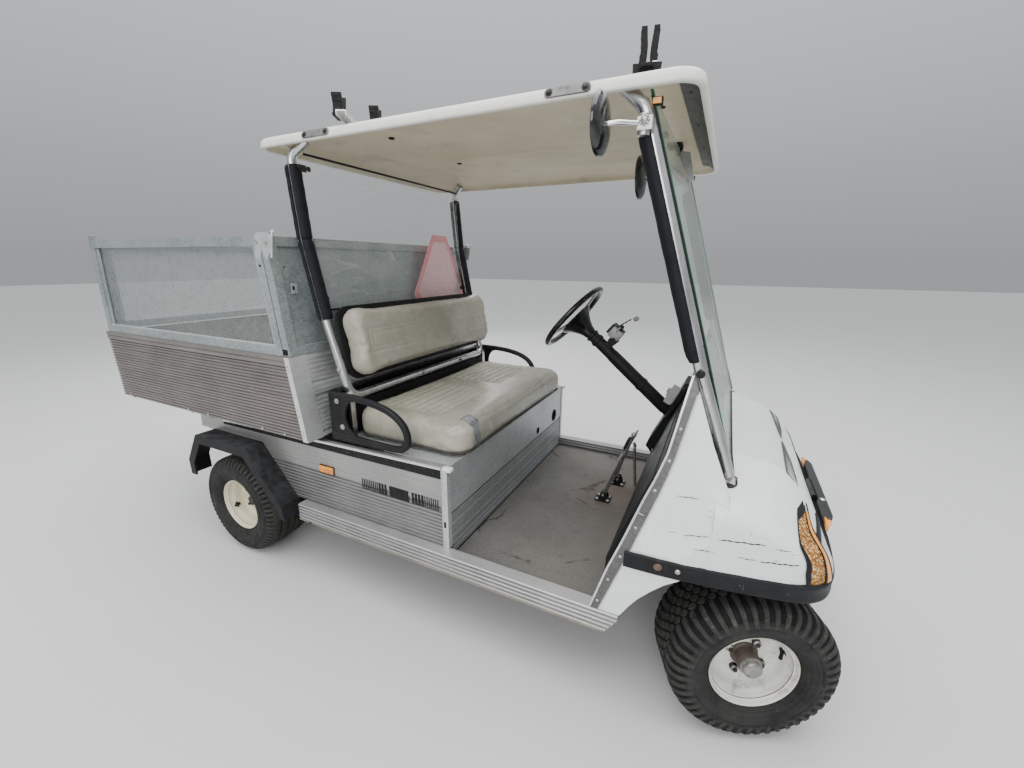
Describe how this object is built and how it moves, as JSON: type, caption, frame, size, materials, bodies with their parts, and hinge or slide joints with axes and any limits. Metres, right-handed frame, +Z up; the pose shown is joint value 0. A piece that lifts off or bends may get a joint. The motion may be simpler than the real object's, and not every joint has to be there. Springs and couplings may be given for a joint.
{
  "type": "utility vehicle",
  "caption": "Small utility vehicle with bench seat, canopy, windshield, steered front wheels and a tipping load bed with mesh sides, drop tailgate and mesh gate.",
  "frame": {"origin": "on the ground under the middle of the vehicle's length and width", "axes": "+X forward, +Y to the vehicle's left, +Z up"},
  "size_m": [2.9818, 1.28, 1.774],
  "materials": {
    "frame_black": "satin",
    "aluminium_ribbed": "brushed, worn",
    "aluminium_bed": "ribbed, dull",
    "galvanised": "spangled zinc",
    "floor_rubber": "worn",
    "seat_vinyl": "worn vinyl",
    "black_plastic": "textured",
    "canopy_white": "aged",
    "cowl_white": "scratched",
    "tube_silver": "polished",
    "pad_black": "foam",
    "clear_screen": "clear",
    "glass_green": "tinted edge",
    "bumper_black": "scratched",
    "lens_amber": "textured lens",
    "sign_pink": "faded",
    "mirror_black": "glossy",
    "pedal_steel": "worn",
    "axle_steel": "dirty",
    "rim_white": "dirty",
    "rim_cream": "worn",
    "tyre_black": "tread",
    "battery_case": "plain"
  },
  "bodies": {
    "root": {"backrest_cushion": "seat_vinyl", "backrest_shell": "black_plastic", "battery_pack": "battery_case", "canopy_roof": "canopy_white", "cowl_trim": "galvanised", "dashboard": "black_plastic", "floor_bearers": "frame_black", "floor_mat": "floor_rubber", "floor_plate": "frame_black", "front_axle": "axle_steel", "front_bumper": "bumper_black", "front_canopy_frame": "tube_silver", "front_cowl": "cowl_white", "front_rails": "frame_black", "hip_restraints": "frame_black", "lamps": "lens_amber", "leaf_springs": "axle_steel", "mirrors": "mirror_black", "pedals": "pedal_steel", "rear_axle": "axle_steel", "rear_canopy_frame": "tube_silver", "rear_fenders": "bumper_black", "rear_rails": "frame_black", "rear_screen": "clear_screen", "rocker_sills": "aluminium_ribbed", "roof_fittings": "black_plastic", "seat_cushion": "seat_vinyl", "seat_deck": "galvanised", "seat_front_panel": "galvanised", "side_panels": "aluminium_ribbed", "steering_column": "frame_black", "strut_pads": "pad_black", "windshield": "glass_green"},
    "wheel_fl": {"wheel_front_left": "rim_white", "tyre_front_left": "tyre_black"},
    "wheel_fr": {"wheel_front_right": "rim_white", "tyre_front_right": "tyre_black"},
    "wheel_rl": {"wheel_rear_left": "rim_cream", "tyre_rear_left": "tyre_black"},
    "wheel_rr": {"wheel_rear_right": "rim_cream", "tyre_rear_right": "tyre_black"},
    "knuckle_l": {"knuckle_left": "axle_steel"},
    "knuckle_r": {"knuckle_right": "axle_steel"},
    "track_rod": {"tie_rod": "axle_steel"},
    "steering": {"steering_wheel": "black_plastic"},
    "bed": {"bed_floor": "aluminium_bed", "bed_sides": "aluminium_bed", "bed_front_wall": "aluminium_bed", "cage_sides": "galvanised", "cage_front": "galvanised", "rear_sign": "sign_pink"},
    "rear_gate": {"tailgate": "aluminium_bed"},
    "mesh_gate": {"cage_gate": "galvanised"}
  },
  "joints": [
    {"name": "steer_right", "type": "hinge", "parent": "root", "child": "knuckle_r", "pos_m": [1.227, -0.352, 0.222], "axis": [0, 0, 1], "range_deg": [-54.8, 11.2]},
    {"name": "steer_left", "type": "hinge", "parent": "root", "child": "knuckle_l", "pos_m": [1.227, 0.352, 0.222], "axis": [0, 0, 1], "range_deg": [-55.8, 12.2]},
    {"name": "track_rod_slide", "type": "slide", "parent": "root", "child": "track_rod", "axis": [0, 1, 0], "range_m": [-0.03, 0.12]},
    {"name": "steering_wheel_turn", "type": "hinge", "parent": "root", "child": "steering", "pos_m": [0.493, 0.28, 1.029], "axis": [-0.763, 0, 0.6463], "range_deg": [-553, 117]},
    {"name": "wheel_fr_spin", "type": "hinge", "parent": "knuckle_r", "child": "wheel_fr", "pos_m": [1.227, -0.352, 0.222], "axis": [-0.3714, 0.9285, 0], "continuous": true},
    {"name": "wheel_fl_spin", "type": "hinge", "parent": "knuckle_l", "child": "wheel_fl", "pos_m": [1.227, 0.352, 0.222], "axis": [-0.3714, 0.9285, 0], "continuous": true},
    {"name": "wheel_rr_spin", "type": "hinge", "parent": "root", "child": "wheel_rr", "pos_m": [-0.714, -0.51, 0.222], "axis": [0, 1, 0], "continuous": true},
    {"name": "wheel_rl_spin", "type": "hinge", "parent": "root", "child": "wheel_rl", "pos_m": [-0.714, 0.51, 0.222], "axis": [0, 1, 0], "continuous": true},
    {"name": "bed_tilt", "type": "hinge", "parent": "root", "child": "bed", "pos_m": [-1.094, 0, 0.584], "axis": [0, -1, 0], "range_deg": [0, 40]},
    {"name": "tailgate_hinge", "type": "hinge", "parent": "bed", "child": "rear_gate", "pos_m": [-1.455, 0, 0.642], "axis": [0, -1, 0], "range_deg": [0, 90]},
    {"name": "mesh_gate_hinge", "type": "hinge", "parent": "bed", "child": "mesh_gate", "pos_m": [-1.45, 0, 1.328], "axis": [0, 1, 0], "range_deg": [0, 80]}
  ],
  "couplings": [
    {"joint": "steer_left", "follows": "steer_right", "ratio": 1},
    {"joint": "track_rod_slide", "follows": "steer_right", "m_per_rad": -0.12004},
    {"joint": "steering_wheel_turn", "follows": "steer_right", "ratio": 10}
  ]
}
